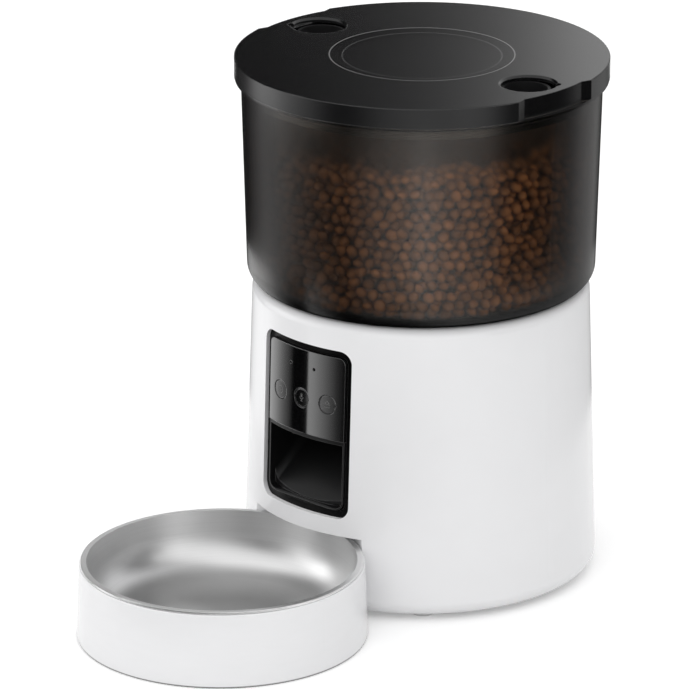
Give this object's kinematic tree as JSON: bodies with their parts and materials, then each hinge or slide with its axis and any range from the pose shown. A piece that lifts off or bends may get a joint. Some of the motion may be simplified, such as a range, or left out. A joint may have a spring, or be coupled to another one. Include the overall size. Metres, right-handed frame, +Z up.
{
  "type": "automatic pet feeder",
  "caption": "Gravity pet feeder: smoked tank with a latched black lid on a round white base with a geared dosing rotor, button panel and chute, and a steel bowl on a docking tray.",
  "frame": {"origin": "on the ground, under the middle of the whole footprint (feeder and bowl tray together)", "axes": "+Z up; -Y is the front, where the chute and the bowl are; +X is the feeder's own left side seen from behind, so the right side seen from the front; the tank's axis is vertical at y = 0.06405"},
  "size_m": [0.1992, 0.328, 0.2873],
  "materials": {
    "white_shell": "gloss, moulded ABS, very light texture-free",
    "white_inner": "satin, moulded ABS",
    "pale_rubber": "matt, soft",
    "smoke_tank": "translucent smoke, smooth outside",
    "smoke_chamber": "satin, moulded ABS",
    "rotor_plastic": "satin, moulded POM",
    "black_lid": "satin gloss, moulded ABS",
    "black_liner": "satin, moulded ABS",
    "black_frame": "satin gloss",
    "panel_gloss": "polished",
    "button_gloss": "polished, pale printed icons",
    "black_chute": "satin, moulded ABS",
    "lamp_clear": "clear light pipe",
    "sensor_black": "satin",
    "board_green": "solder mask",
    "screw_steel": "zinc plated",
    "axle_steel": "ground",
    "gear_plastic": "natural POM",
    "pinion_brass": "machined",
    "motor_can": "drawn, zinc plated",
    "contact_nickel": "nickel plated",
    "speaker_black": "frame and paper cone",
    "capsule_metal": "drawn can",
    "black_rubber": "matt silicone",
    "spring_steel": "bright spring strip",
    "bowl_steel": "satin, spun"
  },
  "bodies": {
    "base": {"base_housing": "white_shell", "base_floor": "white_inner", "base_screws": "screw_steel", "rubber_feet": "pale_rubber", "window_frame": "black_frame", "control_panel": "panel_gloss", "status_lamp": "lamp_clear", "microphone": "capsule_metal", "microphone_boot": "black_rubber", "control_board": "board_green", "tact_switches": "sensor_black", "board_screws": "screw_steel", "chute": "black_chute", "feed_sensors": "sensor_black", "hopper_well": "white_inner", "well_screws": "screw_steel", "gearbox_case": "white_inner", "gearbox_cover": "white_inner", "gearbox_screws": "screw_steel", "gear_motor": "motor_can", "gear_axles": "axle_steel", "battery_contacts": "contact_nickel", "power_inlet": "sensor_black", "speaker": "speaker_black"},
    "hopper": {"hopper": "smoke_tank", "dosing_chamber": "smoke_chamber", "chamber_screws": "screw_steel", "portion_shield": "smoke_chamber"},
    "rotor": {"rotor": "rotor_plastic", "stirrer": "rotor_plastic"},
    "drive_gear": {"drive_gear": "gear_plastic", "drive_coupling": "gear_plastic"},
    "second_gear": {"second_gear": "gear_plastic"},
    "first_gear": {"first_gear": "gear_plastic"},
    "motor_pinion": {"motor_pinion": "pinion_brass"},
    "lid": {"lid": "black_lid", "lid_liner": "black_liner", "liner_screws": "screw_steel", "lid_seal": "black_rubber", "latch_spring_left": "spring_steel", "latch_spring_right": "spring_steel"},
    "latch_left": {"latch_left": "black_liner"},
    "latch_right": {"latch_right": "black_liner"},
    "desiccant_cover": {"desiccant_cover": "black_liner"},
    "mode_button": {"mode_button": "button_gloss"},
    "record_button": {"record_button": "button_gloss"},
    "feed_button": {"feed_button": "button_gloss"},
    "bowl_tray": {"bowl_tray": "white_shell"},
    "steel_bowl": {"steel_bowl": "bowl_steel"},
    "battery_door": {"battery_door": "white_inner"}
  },
  "joints": [
    {"name": "hopper_lift", "type": "slide", "parent": "base", "child": "hopper", "axis": [0, 0, 1], "range_m": [0, 0.06]},
    {"name": "rotor_spin", "type": "hinge", "parent": "hopper", "child": "rotor", "pos_m": [0, 0.06405, 0.13], "axis": [0, 0, 1], "continuous": true},
    {"name": "drive_spin", "type": "hinge", "parent": "base", "child": "drive_gear", "pos_m": [0, 0.06405, 0.097], "axis": [0, 0, 1], "continuous": true},
    {"name": "second_gear_spin", "type": "hinge", "parent": "base", "child": "second_gear", "pos_m": [-0.02425, 0.07805, 0.092], "axis": [0, 0, 1], "continuous": true},
    {"name": "first_gear_spin", "type": "hinge", "parent": "base", "child": "first_gear", "pos_m": [-0.04825, 0.07805, 0.088], "axis": [0, 0, 1], "continuous": true},
    {"name": "motor_spin", "type": "hinge", "parent": "base", "child": "motor_pinion", "pos_m": [-0.06779, 0.07094, 0.086], "axis": [0, 0, 1], "continuous": true},
    {"name": "lid_lift", "type": "slide", "parent": "hopper", "child": "lid", "axis": [0, 0, 1], "range_m": [0, 0.06]},
    {"name": "latch_left_pinch", "type": "slide", "parent": "lid", "child": "latch_left", "axis": [1, 0, 0], "range_m": [0, 0.004], "stiffness_N_per_m": 800, "springref_m": -0.002, "deforming": ["latch_spring_left"]},
    {"name": "latch_right_pinch", "type": "slide", "parent": "lid", "child": "latch_right", "axis": [-1, 0, 0], "range_m": [0, 0.004], "stiffness_N_per_m": 800, "springref_m": -0.002, "deforming": ["latch_spring_right"]},
    {"name": "desiccant_cover_twist", "type": "hinge", "parent": "lid", "child": "desiccant_cover", "pos_m": [0, 0.06405, 0.269], "axis": [0, 0, 1], "range_deg": [0, 25]},
    {"name": "mode_button_press", "type": "slide", "parent": "base", "child": "mode_button", "axis": [0, 1, 0], "range_m": [0, 0.0008], "stiffness_N_per_m": 1500, "springref_m": -0.0004},
    {"name": "record_button_press", "type": "slide", "parent": "base", "child": "record_button", "axis": [0, 1, 0], "range_m": [0, 0.0008], "stiffness_N_per_m": 1500, "springref_m": -0.0004},
    {"name": "feed_button_press", "type": "slide", "parent": "base", "child": "feed_button", "axis": [0, 1, 0], "range_m": [0, 0.0008], "stiffness_N_per_m": 1500, "springref_m": -0.0004},
    {"name": "tray_slide", "type": "slide", "parent": "base", "child": "bowl_tray", "axis": [0, -1, 0], "range_m": [0, 0.09]},
    {"name": "bowl_lift", "type": "slide", "parent": "bowl_tray", "child": "steel_bowl", "axis": [0, 0, 1], "range_m": [0, 0.003]},
    {"name": "battery_door_hinge", "type": "hinge", "parent": "base", "child": "battery_door", "pos_m": [0, 0.12792, 0.0048], "axis": [1, 0, 0], "range_deg": [0, 90]}
  ],
  "couplings": [
    {"joint": "drive_spin", "follows": "rotor_spin", "ratio": 1},
    {"joint": "second_gear_spin", "follows": "rotor_spin", "ratio": -3.6667},
    {"joint": "first_gear_spin", "follows": "rotor_spin", "ratio": 11},
    {"joint": "motor_spin", "follows": "rotor_spin", "ratio": -36.667}
  ]
}
